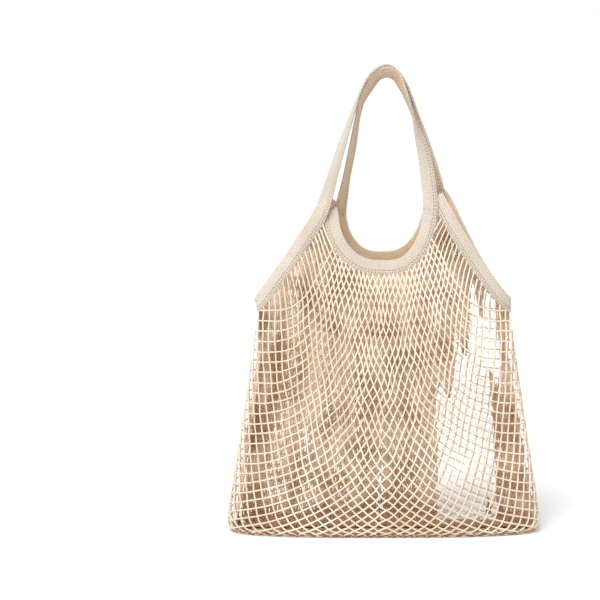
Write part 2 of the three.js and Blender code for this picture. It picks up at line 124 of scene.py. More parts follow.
def dressed(piece: bpy.types.Object, finish: bpy.types.Material, slot: str, *nodes: str) -> bpy.types.Object:
    """Finishes a piece and lays it over the CAD nodes that it stands for."""
    piece.data.materials.append(finish)
    if nodes:
        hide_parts(*nodes)
    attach(piece, "root")
    return piece


@dataclass(frozen=True)
class Wire:
    """A shader value, on which sums are written as plain expressions."""

    bench: "Bench"
    socket: bpy.types.NodeSocket

    def _sum(self, operation: str, *values: "Wire | float") -> "Wire":
        """Adds a Math node for one operation."""
        node = self.bench.node("ShaderNodeMath", {"operation": operation}, dict(enumerate(values)))
        return Wire(self.bench, node.outputs[0])

    def __add__(self, other: "Wire | float") -> "Wire":
        """self + other."""
        return self._sum("ADD", self, other)

    def __sub__(self, other: "Wire | float") -> "Wire":
        """self - other."""
        return self._sum("SUBTRACT", self, other)

    def __rsub__(self, other: float) -> "Wire":
        """other - self."""
        return self._sum("SUBTRACT", other, self)

    def __mul__(self, other: "Wire | float") -> "Wire":
        """self * other."""
        return self._sum("MULTIPLY", self, other)

    def __truediv__(self, other: "Wire | float") -> "Wire":
        """self / other."""
        return self._sum("DIVIDE", self, other)

    def above(self, limit: float) -> "Wire":
        """1 where the value is above a limit, else 0."""
        return self._sum("GREATER_THAN", self, limit)

    def size(self) -> "Wire":
        """The value without its sign."""
        return self._sum("ABSOLUTE", self)

    def folded(self, width: float) -> "Wire":
        """The value folded back and forth within a width."""
        return self._sum("PINGPONG", self, width)

    def wave(self, pitch: float) -> "Wire":
        """A sine wave of the value, from 0 to 1, with a pitch."""
        return self._sum("SINE", self * (2 * math.pi / pitch)) * 0.5 + 0.5

    def fade(self, start: float, end: float) -> "Wire":
        """Rises smoothly from 0 to 1 as the value goes from start to end."""
        node = self.bench.node(
            "ShaderNodeMapRange", {"interpolation_type": "SMOOTHSTEP"}, {0: self, 1: start, 2: end},
        )
        return Wire(self.bench, node.outputs[0])


@dataclass(frozen=True)
class Mottle:
    """Soft noise over the object, and the two levels of it between which it fades."""

    scale: float
    detail: float
    start: float
    end: float


class Bench:
    """A matt textile material and the nodes that are laid out in it."""

    specular = 0.2
    sheen_roughness = 0.6

    def __init__(self, name: str, roughness: float, sheen: float) -> None:
        """Starts the material."""
        self.material = bpy.data.materials.new(name)
        self.material.use_nodes = True
        self.tree = self.material.node_tree
        self.shader = self.tree.nodes["Principled BSDF"]
        self.shader.inputs["Roughness"].default_value = roughness
        self.shader.inputs["Specular IOR Level"].default_value = self.specular
        self.shader.inputs["Sheen Weight"].default_value = sheen
        self.shader.inputs["Sheen Roughness"].default_value = self.sheen_roughness

    def node(self, kind: str, settings: dict[str, object], values: dict[int | str, object]) -> bpy.types.Node:
        """Adds one node."""
        made = self.tree.nodes.new(kind)
        for key, value in settings.items():
            setattr(made, key, value)
        for key, value in values.items():
            if isinstance(value, Wire):
                self.tree.links.new(value.socket, made.inputs[key])
            else:
                made.inputs[key].default_value = value
        return made

    def place(self, kind: str) -> Wire:
        """The place on the piece, by its Object coordinates or its own UV."""
        return Wire(self, self.node("ShaderNodeTexCoord", {}, {}).outputs[kind])

    def parts(self, kind: str) -> tuple[Wire, Wire, Wire]:
        """The three parts of the place on the piece."""
        parts = self.node("ShaderNodeSeparateXYZ", {}, {0: self.place(kind)})
        return Wire(self, parts.outputs[0]), Wire(self, parts.outputs[1]), Wire(self, parts.outputs[2])

    def noise(self, look: Mottle) -> Wire:
        """Soft noise over the object, from 0 to 1."""
        made = self.node(
            "ShaderNodeTexNoise", {},
            {"Vector": self.place("Object"), "Scale": look.scale, "Detail": look.detail},
        )
        return Wire(self, made.outputs[0])

    def mottle(self, look: Mottle) -> Wire:
        """Noise over the object, faded between its two levels."""
        return self.noise(look).fade(look.start, look.end)

    def mix(self, share: Wire, first: object, second: object) -> Wire:
        """Mixes two colours by a share of the second."""
        made = self.node(
            "ShaderNodeMix", {"data_type": "RGBA", "clamp_factor": True},
            {"Factor": share, 6: first, 7: second},
        )
        return Wire(self, made.outputs[2])

    def dress(self, colour: Wire, relief: Wire, depth: float, roughness: Wire) -> bpy.types.Material:
        """Links colour, relief and roughness to the shader."""
        bump = self.node("ShaderNodeBump", {}, {"Height": relief, "Distance": depth, "Strength": 1.0})
        self.tree.links.new(colour.socket, self.shader.inputs["Base Color"])
        self.tree.links.new(roughness.socket, self.shader.inputs["Roughness"])
        self.tree.links.new(bump.outputs[0], self.shader.inputs["Normal"])
        return self.material


@dataclass(frozen=True)
class CottonString:
    """Twisted natural cotton string: plies, flecks, darker patches, and painted shade that darkens it towards
    the floor.
    """

    name: str
    light: Colour
    deep: Colour
    twist_pitch: float = 0.0034
    ply_share: float = 0.5
    ply_shade: float = 0.30
    flecks: Mottle = Mottle(420.0, 3.0, 0.45, 0.7)
    fleck_shade: float = 0.28
    patches: Mottle = Mottle(14.0, 2.0, 0.38, 0.66)
    patch_shade: float = 0.34
    painted_foot_shade: float = 0.0
    foot_height: float = 0.030
    ply_relief: float = 0.7
    fleck_relief: float = 0.3
    depth: float = 0.0002
    roughness: float = 0.86
    fleck_roughness: float = 0.12
    sheen: float = 0.25

    def build(self) -> bpy.types.Material:
        """Makes the material."""
        bench = Bench(self.name, self.roughness, self.sheen)
        run, around, _ = bench.parts("UV")
        plies = (run / self.twist_pitch + around).wave(self.ply_share)
        flecks = bench.noise(self.flecks)
        fleck_spots = flecks.fade(self.flecks.start, self.flecks.end)
        shade = (1 - plies) * self.ply_shade + fleck_spots * self.fleck_shade
        shade = shade + bench.mottle(self.patches) * self.patch_shade
        # Painted shade: darker towards the floor, by the foot's share, for the shadow at the bag's foot.
        shade = shade + bench.parts("Object")[2].fade(self.foot_height, 0.0) * self.painted_foot_shade
        relief = plies * self.ply_relief + flecks * self.fleck_relief
        roughness = flecks * self.fleck_roughness + self.roughness
        return bench.dress(bench.mix(shade, self.light, self.deep), relief, self.depth, roughness)


@dataclass(frozen=True)
class TapeSize:
    """The twill tape's section.

    seams are the distances of its two rows of stitches from the edge on the net's side.
    inner_shift is what its UV adds across on the inner face, to tell the faces apart.
    """

    width: float = 0.0175
    thickness: float = 0.0023
    edge_round: float = 0.0009
    seams: tuple[float, float] = (0.0020, 0.0050)
    inner_shift: float = 0.03


@dataclass(frozen=True)
class TwillTape:
    """Herringbone cotton tape: pale outside, painted shade in tan on its inner face, and sewn-in seam lines
    darkened by painted shade.
    """

    size: TapeSize
    name: str = "twill_tape"
    light: Colour = (0.86, 0.775, 0.675, 1.0)
    rib: Colour = (0.50, 0.41, 0.31, 1.0)
    # Painted shadow: the colour of the shade in the seam grooves.
    groove_shadow: Colour = (0.30, 0.19, 0.10, 1.0)
    # Painted shade: the inner face's tan stands in for the shade that falls on the straps' inner faces.
    inside: Colour = (0.76, 0.545, 0.36, 1.0)
    slub: Colour = (0.47, 0.37, 0.25, 1.0)
    rib_pitch: float = 0.0027
    cross_pitch: float = 0.00165
    column: float = 0.0036
    rim_start: float = 0.00084
    rim_end: float = 0.00273
    groove_reach: float = 0.0006
    groove_floor: float = 0.0002
    slubs: Mottle = Mottle(260.0, 4.0, 0.52, 0.72)
    patches: Mottle = Mottle(18.0, 2.0, 0.3, 0.75)
    outer_rib_shade: float = 0.8
    outer_patch_shade: float = 0.25
    inner_rib_shade: float = 0.35
    inner_patch_shade: float = 0.15
    slub_shade: float = 0.3
    groove_shadow_share: float = 0.85
    rib_relief: float = 0.55
    cross_relief: float = 0.15
    slub_relief: float = 0.2
    groove_relief: float = 0.8
    depth: float = 0.0007
    roughness: float = 0.86
    rib_roughness: float = 0.1
    sheen: float = 0.2

    def build(self) -> bpy.types.Material:
        """Makes the material."""
        bench = Bench(self.name, self.roughness, self.sheen)
        run, place, _ = bench.parts("UV")
        half = self.size.width / 2
        inner = place.above(self.size.inner_shift / 2)
        across = place - inner * self.size.inner_shift
        ribs = (run + (across + half).folded(self.column)).wave(self.rib_pitch)
        slubs, patches = bench.mottle(self.slubs), bench.mottle(self.patches)
        first, second = (
            (across - (half - seam)).size().fade(self.groove_reach, self.groove_floor)
            for seam in self.size.seams
        )
        grooves = first + second
        outer_shade = (1 - ribs) * self.outer_rib_shade + patches * self.outer_patch_shade
        inner_shade = ribs * self.inner_rib_shade + patches * self.inner_patch_shade
        outer_colour = bench.mix(outer_shade, self.light, self.rib)
        shaded_inner_colour = bench.mix(inner_shade, self.inside, self.rib)
        # Painted shade on the inner face, kept off its rims.
        centre = across.size().fade(half - self.rim_start, half - self.rim_end)
        colour = bench.mix(inner * centre, outer_colour, shaded_inner_colour)
        colour = bench.mix(slubs * self.slub_shade, colour, self.slub)
        # Painted shadow: the seam grooves are darkened, as shade falls in them beside the stitches.
        colour = bench.mix(grooves * self.groove_shadow_share, colour, self.groove_shadow)
        relief = ribs * self.rib_relief + run.wave(self.cross_pitch) * self.cross_relief
        relief = relief + slubs * self.slub_relief - grooves * self.groove_relief
        return bench.dress(colour, relief, self.depth, ribs * self.rib_roughness + self.roughness)


@dataclass(frozen=True)
class SeamThread:
    """Plain sewing thread."""

    name: str = "seam_thread"
    light: Colour = (0.92, 0.85, 0.74, 1.0)
    deep: Colour = (0.70, 0.60, 0.47, 1.0)
    twist_pitch: float = 0.0009
    ply_share: float = 0.5
    ply_shade: float = 0.6
    patches: Mottle = Mottle(90.0, 2.0, 0.0, 1.0)
    patch_shade: float = 0.3
    depth: float = 0.00008
    roughness: float = 0.66
    ply_roughness: float = 0.1
    sheen: float = 0.1

    def build(self) -> bpy.types.Material:
        """Makes the material."""
        bench = Bench(self.name, self.roughness, self.sheen)
        run, around, _ = bench.parts("UV")
        plies = (run / self.twist_pitch + around).wave(self.ply_share)
        shade = (1 - plies) * self.ply_shade + bench.noise(self.patches) * self.patch_shade
        colour = bench.mix(shade, self.light, self.deep)
        return bench.dress(colour, plies, self.depth, plies * self.ply_roughness + self.roughness)


@dataclass(frozen=True)
class StudioFloor:
    """The plain pale floor."""

    name: str = "studio_floor"
    colour: Colour = (0.92, 0.92, 0.92, 1.0)
    roughness: float = 0.95

    def build(self) -> bpy.types.Material:
        """Makes the material."""
        bench = Bench(self.name, self.roughness, 0.0)
        bench.shader.inputs["Base Color"].default_value = self.colour
        return bench.material


@dataclass(frozen=True)
class BodyRow:
    """One section of the body.

    up is its share of the shoulder height, narrowing its share of the way from base
    width to shoulder width, depth its share of the base depth, and squareness its
    exponent, 2 for an ellipse.
    """

    up: float
    narrowing: float
    depth: float
    squareness: float


@dataclass(frozen=True)
class Peak:
    """Where the neck and a side of the net meet under a handle strap.

    strap is how much higher than the peak the strap's leg begins.
    """

    x: float
    height: float
    strap: float


@dataclass(frozen=True)
class BagShape:
    """The sizes of the bag's body, and its surface."""

    base_width: float = 0.378
    base_depth: float = 0.110
    shoulder_width: float = 0.306
    shoulder_height: float = 0.262
    bottom_round: float = 0.012
    fold_depth: float = 0.0025
    fold_count: int = 5
    panel_share: float = 0.8
    neck_middle: float = -0.001
    neck_heights: tuple[float, float] = (0.3085, 0.3185)
    front_peaks: tuple[Peak, Peak] = (Peak(-0.0716, 0.371, 0.017), Peak(0.062, 0.382, 0.006))
    back_peaks: tuple[Peak, Peak] = (Peak(-0.062, 0.378, 0.010), Peak(0.066, 0.392, -0.004))
    neck_across: float = 2.5
    neck_up: float = 1.71
    side_curves: tuple[float, float] = (1.15, 1.4)
    rows: tuple[BodyRow, ...] = (
        BodyRow(0.0, 0.0, 0.98, 2.8),
        BodyRow(0.1, 0.05, 1.0, 2.8),
        BodyRow(0.25, 0.22, 0.99, 2.7),
        BodyRow(0.5, 0.5, 0.92, 2.5),
        BodyRow(0.75, 0.77, 0.8, 2.25),
        BodyRow(1.0, 1.0, 0.66, 2.0),
        BodyRow(1.15, 1.0, 0.57, 2.0),
        BodyRow(1.3, 1.0, 0.42, 2.0),
        BodyRow(1.45, 1.0, 0.3, 2.0),
        BodyRow(1.6, 1.0, 0.25, 2.0),
    )

    @property
    def shoulder_half(self) -> float:
        """Half the width at the shoulders."""
        return self.shoulder_width / 2

    def peak(self, side: Side, hand: Hand) -> Peak:
        """The peak of a side of the bag, on one hand."""
        peaks = self.front_peaks if side is Side.FRONT else self.back_peaks
        return peaks[0 if hand is Hand.LEFT else 1]

    def neck_height(self, side: Side) -> float:
        """The lowest point of the neck, front or back."""
        return self.neck_heights[0 if side is Side.FRONT else 1]

    def section(self, height: float) -> Triple:
        """Half width, half depth and squareness of the body at a height."""
        up = height / self.shoulder_height
        knots = [row.up for row in self.rows]
        narrowing = smooth_column(knots, [row.narrowing for row in self.rows], up)
        depth = smooth_column(knots, [row.depth for row in self.rows], up)
        power = smooth_column(knots, [row.squareness for row in self.rows], up)
        width = self.base_width + (self.shoulder_width - self.base_width) * narrowing
        return width / 2, self.base_depth / 2 * depth, power

    def round_inset(self, height: float) -> float:
        """How far the wall is drawn in where it rounds over into the base."""
        if height >= self.bottom_round:
            return 0.0
        drop = self.bottom_round - max(height, 0.0)
        return self.bottom_round - math.sqrt(self.bottom_round**2 - drop**2)

    def surface(self, angle: float, height: float) -> Vector:
        """A point of the outer surface. Angle 0 is the front, 90 degrees the right."""
        half_width, half_depth, power = self.section(height)
        inset = self.round_inset(height)
        sine, cosine = math.sin(angle), math.cos(angle)
        return Vector((
            math.copysign(abs(sine) ** (2 / power), sine) * (half_width - inset),
            -math.copysign(abs(cosine) ** (2 / power), cosine) * (half_depth - inset),
            height,
        ))

    def normal(self, angle: float, height: float) -> Vector:
        """Outward normal of the surface at an angle and a height."""
        turn, rise = 1e-3, 5e-4
        along = self.surface(angle + turn, height) - self.surface(angle - turn, height)
        up = self.surface(angle, height + rise) - self.surface(angle, height - rise)
        return along.cross(up).normalized()

    def angle_of_share(self, share: float, side: Side, height: float) -> float:
        """The angle of a share of the half width, on the front or the back."""
        power = self.section(height)[2]
        from_middle = math.asin(min(abs(share), 1.0) ** (power / 2))
        angle = from_middle if side is Side.FRONT else math.pi - from_middle
        return math.copysign(angle, share)

    def side_edge_height(self, hand: Hand, side: Side, share: float) -> float:
        """Height of the net's edge on one hand, at a share of the shoulder half width."""
        peak = self.peak(side, hand)
        peak_share = abs(peak.x) / self.shoulder_half
        way = clamp((1 - abs(share)) / (1 - peak_share))
        power = self.side_curves[0 if hand is Hand.LEFT else 1]
        return self.shoulder_height + (peak.height - self.shoulder_height) * way**power

    def neck_edge(self, side: Side, turn: float) -> tuple[float, float]:
        """Share and height of the neck's edge. turn runs from -1, left, to 1, right."""
        peak = self.peak(side, Hand.LEFT if turn < 0 else Hand.RIGHT)
        angle = abs(turn) * math.pi / 2
        across = max(math.sin(angle), 0.0) ** (2 / self.neck_across)
        up = 1 - max(math.cos(angle), 0.0) ** (2 / self.neck_up)
        neck = self.neck_height(side)
        x = self.neck_middle + (peak.x - self.neck_middle) * across
        return x / self.shoulder_half, neck + (peak.height - neck) * up

    def edge_height(self, side: Side, x: float) -> float:
        """Height of the net's bound edge above a place across the bag."""
        hand = Hand.LEFT if x < self.neck_middle else Hand.RIGHT
        peak = self.peak(side, hand)
        across = (x - self.neck_middle) / (peak.x - self.neck_middle)
        if across >= 1:
            return self.side_edge_height(hand, side, min(abs(x) / self.shoulder_half, 1.0))
        up = 1 - (1 - across**self.neck_across) ** (1 / self.neck_up)
        neck = self.neck_height(side)
        return neck + (peak.height - neck) * up

    def fold(self, share: float, rise: float) -> float:
        """How far a soft upright fold stands out, at a share of the half width."""
        wave = math.sin(share * self.fold_count * math.pi)
        fade = max(1 - (share / self.panel_share) ** 2, 0.0)
        return self.fold_depth * wave * math.sin(clamp(rise) * math.pi) ** 2 * fade


@dataclass(frozen=True)
class StrandRow:
    """How close the strands of one slant run, at a run up the wall from its foot.

    closeness counts strands to a quarter of the bag's girth, at even steps across one
    face from the left column to the right one.
    """

    run: float
    closeness: tuple[float, ...]


@dataclass(frozen=True)
class Ripple:
    """A sine wave over one face of the net, in radians for each share and metre.

    start is its angle in the middle of the foot, and turned what the side's sign adds.
    """

    across: float
    up: float
    start: float
    turned: float

    def at(self, share: float, run: float, side: Side) -> float:
        """The wave's value at a place on one side."""
        return math.sin(self.across * share + self.up * run + self.start + self.turned * side.value)


@dataclass
class StrandNet:
    """The net: two slants of cotton strands laid over the body's surface.

    A strand's level is its number in the field of counts, which rises across the face
    and falls up the wall. The other slant is the same field mirrored.
    """

    shape: BagShape
    finish: bpy.types.Material
    shaded_base_finish: bpy.types.Material
    radius: float = 0.00098
    tube_sides: int = 6
    step: float = 0.0042
    most_steps: int = 400
    settling_tries: int = 2
    edge_lap: float = 0.0045
    radii_sunk: float = 1.05
    radii_off_floor: float = 1.4
    base_top: float = 0.0032
    weave_lift: float = 0.00042
    rung_pitch: float = 0.0122
    first_rung: float = 0.010
    top_rung: float = 0.33
    top: float = 0.42
    share_stops: int = 161
    run_stops: int = 200
    height_stops: int = 106
    angle_stops: int = 61
    quarter_stops: int = 81
    wobble_share: float = 0.0052
    wobble_run: float = 0.0010
    still_run: float = 0.16
    share_ripples: tuple[Ripple, Ripple] = (Ripple(17.0, 90.0, 0.0, 2.1), Ripple(32.3, -54.0, 0.0, 0.0))
    run_ripples: tuple[Ripple, Ripple] = (Ripple(23.8, -72.0, 0.0, 2.1), Ripple(0.0, 153.0, 2.1, 0.0))
    rows: tuple[StrandRow, ...] = (
        StrandRow(-0.042, (13.0, 13.0, 13.0, 13.0, 13.0, 13.0, 13.0, 13.0, 13.0)),
        StrandRow(0.0, (8.5, 7.0, 9.5, 13.3, 14.5, 14.5, 14.5, 17.0, 20.0)),
        StrandRow(0.020, (6.2, 5.0, 9.2, 12.9, 14.5, 15.5, 16.5, 18.0, 20.0)),
        StrandRow(0.050, (2.0, 4.5, 9.0, 13.2, 16.0, 18.1, 19.6, 20.1, 18.5)),
        StrandRow(0.100, (0.0, 3.0, 10.0, 15.5, 19.0, 21.4, 22.2, 21.1, 18.0)),
        StrandRow(0.150, (0.0, 2.0, 12.0, 18.5, 22.2, 23.6, 23.0, 21.0, 18.5)),
        StrandRow(0.200, (0.0, 1.5, 14.0, 21.5, 24.5, 25.5, 24.0, 21.0, 18.5)),
        StrandRow(0.250, (0.0, 2.0, 17.0, 23.5, 26.5, 27.0, 25.5, 21.5, 18.0)),
        StrandRow(0.300, (0.0, 3.0, 20.0, 25.5, 28.0, 28.5, 27.5, 24.0, 18.0)),
        StrandRow(0.350, (0.0, 4.0, 22.0, 26.5, 28.5, 29.0, 28.5, 25.0, 18.0)),
    )

    def __post_init__(self) -> None:
        """Works out the smooth field that the strands follow."""
        self.foot_run = self.shape.bottom_round * math.pi / 2
        self.base_reach = self.shape.section(0.0)[1] - self.shape.bottom_round
        self.shares = np.linspace(-1.0, 1.0, self.share_stops)
        self.runs = np.linspace(-self.base_reach, self.top, self.run_stops)
        table = np.array([row.closeness for row in self.rows])
        columns_at = np.linspace(-1.0, 1.0, table.shape[1])
        knots = [row.run for row in self.rows]
        closeness = np.zeros((len(self.runs), len(self.shares)))
        for j, run in enumerate(self.runs):
            columns = [smooth_column(knots, table[:, c], float(run)) for c in range(table.shape[1])]
            closeness[j] = [max(smooth_column(columns_at, columns, float(s)), 0.0) for s in self.shares]
        middles = (closeness[:, 1:] + closeness[:, :-1]) / 2
        sums = np.cumsum(middles * np.diff(self.shares), axis=1)
        self.counts = np.hstack([np.zeros((len(self.runs), 1)), sums])
        self.counts -= (np.maximum(self.runs - self.first_rung, 0.0) / self.rung_pitch)[:, None]
        self.slope_run, self.slope_share = np.gradient(self.counts, self.runs, self.shares)
        self._lay_out_sections()

    def _lay_out_sections(self) -> None:
        """Tabulates the angle of each share of the quarter girth, by height."""
        self.heights = np.linspace(0.0, self.top, self.height_stops)
        angles = np.linspace(0.0, math.pi / 2, self.angle_stops)
        even = np.linspace(0.0, 1.0, self.quarter_stops)
        rows, quarters = [], []
        for height in self.heights:
            points = [self.shape.surface(float(a), float(height)) for a in angles]
            lengths = running_length(points)
            rows.append(np.interp(even, lengths / lengths[-1], angles))
            quarters.append(lengths[-1])
        self.angle_rows = np.array(rows)
        self.quarters = np.array(quarters)

    @staticmethod
    def _bilinear(grid: np.ndarray, row: float, column: float) -> float:
        """Reads a grid between its points, by fractional row and column."""
        j = clamp(int(row), 0, grid.shape[0] - 2)
        i = clamp(int(column), 0, grid.shape[1] - 2)
        v, u = clamp(row - j), clamp(column - i)
        low = grid[j, i] * (1 - u) + grid[j, i + 1] * u
        high = grid[j + 1, i] * (1 - u) + grid[j + 1, i + 1] * u
        return float(low * (1 - v) + high * v)

    def _field(self, grid: np.ndarray, share: float, run: float) -> float:
        """Reads one of the strand fields at a share across and a run up."""
        row = (run - self.runs[0]) / (self.runs[1] - self.runs[0])
        column = (share + 1) / 2 * (len(self.shares) - 1)
        return self._bilinear(grid, row, column)

    def height_of(self, run: float) -> float:
        """Height above the floor of a run up the wall."""
        if run <= 0:
            return 0.0
        if run < self.foot_run:
            return self.shape.bottom_round * (1 - math.cos(run / self.shape.bottom_round))
        return self.shape.bottom_round + run - self.foot_run

    def point(self, share: float, run: float, sink: float) -> Vector:
        """A point of the front half of the net.

        Args:
            share: Share of the quarter girth, from -1 at the left to 1 at the right.
            run: Run up the wall from its foot; less than 0 is on the base.
            sink: How far inside the outer surface the point lies.

        Returns:
            The point, with the soft folds of the wall.
        """
        height = self.height_of(run)
        row = height / (self.heights[1] - self.heights[0])
        column = abs(share) * (self.angle_rows.shape[1] - 1)
        angle = math.copysign(self._bilinear(self.angle_rows, row, column), share)
        place = self.shape.surface(angle, height)
        half_width = self.shape.section(height)[0]
        if run <= 0:
            place.y *= 1 + run / self.base_reach
            return place + Vector((0.0, 0.0, sink))
        rise = height / self.shape.edge_height(Side.FRONT, place.x)
        place.y -= self.shape.fold(place.x / half_width, rise)
        lowest = 6e-4
        return place - self.shape.normal(angle, max(height, lowest)) * sink

    def girth(self, run: float) -> float:
        """A quarter of the girth at a run."""
        return float(np.interp(self.height_of(run), self.heights, self.quarters))

    def _starts(self) -> list[Triple]:
        """Level, share and run where each strand of the rising slant begins."""
        row, low = self.counts[0], float(self.runs[0])
        levels = np.arange(0.5, row[-1])
        starts = [(float(level), float(np.interp(level, row, self.shares)), low) for level in levels]
        rungs = int(math.ceil((self.top_rung - self.first_rung) / self.rung_pitch - 0.5))
        for rung in range(rungs):
            starts.append((-rung - 0.5, -1.0, self.first_rung + (rung + 0.5) * self.rung_pitch))
        return starts

    def trace(
        self, start: Triple, side: Side, mirrored: bool,
    ) -> list[Triple]:
        """Follows one strand from where it begins to the bound edge or the far side.

        Args:
            start: The strand's level, and where it begins, across and up.
            side: The side of the bag whose edge trims it.
            mirrored: Whether the strand is used for the other slant.

        Returns:
            Share, run and the other slant's count at each step.
        """
        level, share, run = start
        path = []
        turn = -1.0 if mirrored else 1.0
        for _ in range(self.most_steps):
            path.append((share, run, self._field(self.counts, -share, run)))
            girth = self.girth(run)
            across = self._field(self.slope_share, share, run) / girth
            up = self._field(self.slope_run, share, run)
            size = math.hypot(across, up) or TINY
            share += -up / size * self.step / girth
            run += across / size * self.step
            for _ in range(self.settling_tries):
                error = self._field(self.counts, share, run) - level
                across = self._field(self.slope_share, share, run) / girth
                up = self._field(self.slope_run, share, run)
                square = across * across + up * up or TINY
                share -= error * across / square / girth
                run -= error * up / square
            if share >= 1.0 or share < -1.0:
                path.append((math.copysign(1.0, share), run, self._field(self.counts, -share, run)))
                break
            x = self.point(share, run, 0.0).x * turn
            if self.height_of(run) > self.shape.edge_height(side, x) + self.edge_lap:
                break
        return path

    def wobble(self, share: float, run: float, mirrored: bool, side: Side) -> tuple[float, float]:
        """Shifts a place a little, as hand-stretched net does, alike for both slants."""
        if run <= 0:
            return share, run
        real = -share if mirrored else share
        still = (1 - real * real) * min(run / self.still_run, 1.0)
        aside = sum(ripple.at(real, run, side) for ripple in self.share_ripples)
        along = sum(ripple.at(real, run, side) for ripple in self.run_ripples)
        real += self.wobble_share * aside * still
        return (-real if mirrored else real), run + self.wobble_run * along * still

    def strand(self, start: Triple, side: Side, mirrored: bool) -> Line:
        """The middle line of one strand, woven over and under the other slant."""
        line = []
        for share, run, other in self.trace(start, side, mirrored):
            over = math.cos(math.pi * (other - start[0]))
            lift = self.weave_lift * (-over if mirrored else over)
            share, run = self.wobble(share, run, mirrored, side)
            place = self.point(share, run, self.radius * self.radii_sunk - lift)
            if run <= 0:
                place.z = self.radius * self.radii_off_floor + lift
            if mirrored:
                place.x = -place.x
            if side is Side.BACK:
                place.y = -place.y
            line.append(place)
        return line

    def strands(self, side: Side) -> list[Line]:
        """The middle lines of all strands on one side of the bag."""
        lines = [self.strand(start, side, mirrored) for mirrored in (False, True) for start in self._starts()]
        return [line for line in lines if len(line) > 2]

    def _panel_of(self, place: Vector) -> str:
        """The net panel that a point lies in."""
        if place.z < self.base_top:
            return "base"
        half_width = self.shape.section(place.z)[0]
        if abs(place.x) > half_width * self.shape.panel_share:
            return "left" if place.x < 0 else "right"
        return "front" if place.y < 0 else "back"

    def split(self, lines: Iterable[Line]) -> dict[str, list[Line]]:
        """Shares the strands out among the panels, with a point of overlap."""
        panels: dict[str, list[Line]] = {}
        for line in lines:
            names = [self._panel_of(place) for place in line]
            start = 0
            for k in range(1, len(line) + 1):
                if k == len(line) or names[k] != names[start]:
                    piece = line[max(start - 1, 0):min(k + 1, len(line))]
                    if len(piece) > 1:
                        panels.setdefault(names[start], []).append(piece)
                    start = k
        return panels

    def build(self) -> list[bpy.types.Object]:
        """Makes the five strand panels and lays them over their CAD nodes."""
        pieces = []
        for name, lines in self.split(self.strands(Side.FRONT) + self.strands(Side.BACK)).items():
            piece = tube_piece(f"{name}_strands", lines, self.radius, self.tube_sides)
            # Painted shade: the base strands take the dark slack finish, which stands in for the shadow under
            # the bag.
            finish = self.shaded_base_finish if name == "base" else self.finish
            pieces.append(dressed(piece, finish, "net", f"{name}_net"))
        return pieces


@dataclass
class SlackNet:
    """The net's slack: strands drawn up close inside the back, in upright folds.

    left, middle and right bound the two stretches that hold slack. middle leans to the
    right above lean_height. The slack lies sink inside the back, and within settle of
    the bound edge it comes to lie rest inside it.
    """

    net: StrandNet
    finish: bpy.types.Material
    radius: float = 0.0013
    tube_sides: int = 4
    pitch: float = 0.0021
    step: float = 0.0041
    bend: float = 0.0006
    sink: float = 0.009
    rest: float = 0.0024
    settle: float = 0.045
    off_floor: float = 0.0038
    wave: float = 0.0034
    folds: float = 31.0
    drift: float = 9.0
    wander: float = 0.006
    wander_drift: float = 27.0
    left: float = -0.172
    middle: float = 0.066
    lean: float = 0.36
    lean_height: float = 0.14
    right: float = 0.136
    ragged: float = 0.013
    top: float = 0.41

    def _place(self, share: float, run: float, bend: float) -> Vector | None:
        """A point of one strand."""
        shape = self.net.shape
        wave = math.sin(self.folds * share + self.drift * run) * self.wave
        aside = bend * math.cos(math.pi * run / self.net.rung_pitch) / self.net.girth(run)
        wander = self.wander * math.sin(self.wander_drift * run + self.folds * share)
        at = clamp(share + aside + wander, -1.0)
        edge = shape.edge_height(Side.BACK, self.net.point(at, run, 0.0).x)
        loose = clamp((edge - self.net.height_of(run)) / self.settle)
        sink = self.rest + (self.sink - self.rest + wave) * loose
        place = self.net.point(at, run, sink if run > 0 else self.off_floor)
        place.y = -place.y
        return None if place.z > edge + self.net.edge_lap else place

    def _holds(self, place: Vector, ragged: float) -> bool:
        """Whether slack lies at a place, between its ragged limits."""
        lean = max(place.z - self.lean_height, 0.0) * self.lean
        left = self.left + ragged < place.x < self.middle + lean + ragged
        return left or place.x > self.right - ragged / 2

    def lines(self) -> list[Line]:
        """The middle lines of the slack's strands, broken where there is none."""
        count = int(2 * self.net.girth(self.net.foot_run) / self.pitch)
        lines = []
        for k in range(count):
            share = -1 + (2 * k + 1) / count
            ragged = self.ragged * math.sin(self.folds * k)
            line: Line = []
            run = float(self.net.runs[0])
            while run < self.top:
                place = self._place(share, run, self.bend if k % 2 else -self.bend)
                if place is None:
                    break
                if run <= 0 or self._holds(place, ragged):
                    line.append(place)
                else:
                    lines.append(line)
                    line = []
                run += self.step
            lines.append(line)
        return [line for line in lines if len(line) > 2]

    def build(self) -> list[bpy.types.Object]:
        """Makes the slack as one piece."""
        piece = tube_piece("slack_strands", self.lines(), self.radius, self.tube_sides)
        return [dressed(piece, self.finish, "net", "back_net")]


def tube_piece(name: str, lines: Iterable[Sequence[Vector]], radius: float, sides: int) -> bpy.types.Object:
    """Makes thin tubes along lines, as one mesh.

    Args:
        name: The piece's name.
        lines: The middle line of each tube.
        radius: The tubes' radius.
        sides: How many sides a tube has.

    Returns:
        The new mesh object, in the scene.
    """
    curve = bpy.data.curves.new(name, "CURVE")
    curve.dimensions = "3D"
    curve.bevel_depth = radius
    curve.bevel_resolution = max(sides // 2 - 2, 0)
    curve.use_fill_caps = True
    for line in lines:
        spline = curve.splines.new("POLY")
        spline.points.add(len(line) - 1)
        spline.points.foreach_set("co", [c for p in line for c in (p.x, p.y, p.z, 1.0)])
    holder = placed(name, curve)
    bpy.context.view_layer.update()
    mesh = bpy.data.meshes.new_from_object(holder.evaluated_get(bpy.context.evaluated_depsgraph_get()))
    bpy.data.objects.remove(holder)
    mesh.shade_smooth()
    measure_tubes(mesh, lines, sides)
    return placed(name, mesh)


